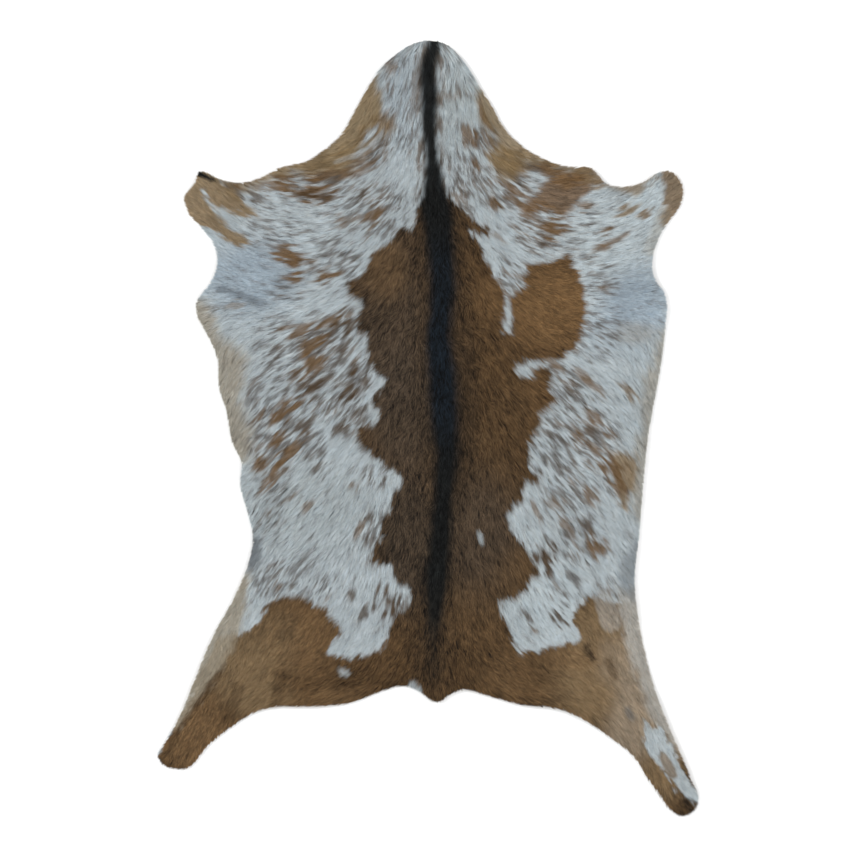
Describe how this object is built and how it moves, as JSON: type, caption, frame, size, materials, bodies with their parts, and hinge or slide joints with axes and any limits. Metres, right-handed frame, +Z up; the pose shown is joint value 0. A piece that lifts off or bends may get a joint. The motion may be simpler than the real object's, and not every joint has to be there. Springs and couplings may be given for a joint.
{
  "type": "goatskin rug",
  "caption": "Flat whole goatskin rug with hair on: neck, forelegs, hind legs and a tail notch in the outline, brown saddle on pale speckled hair.",
  "frame": {"origin": "on the floor under the middle of the hide's length and width", "axes": "+Y from the tail to the neck, +X to the right seen from above with the neck up, +Z up through the hair side"},
  "size_m": [0.65, 0.9321, 0.0143],
  "materials": {
    "hair_on_hide": "tanned skin with short natural hair, soft sheen"
  },
  "bodies": {
    "root": {"goatskin": "hair_on_hide"}
  },
  "joints": []
}
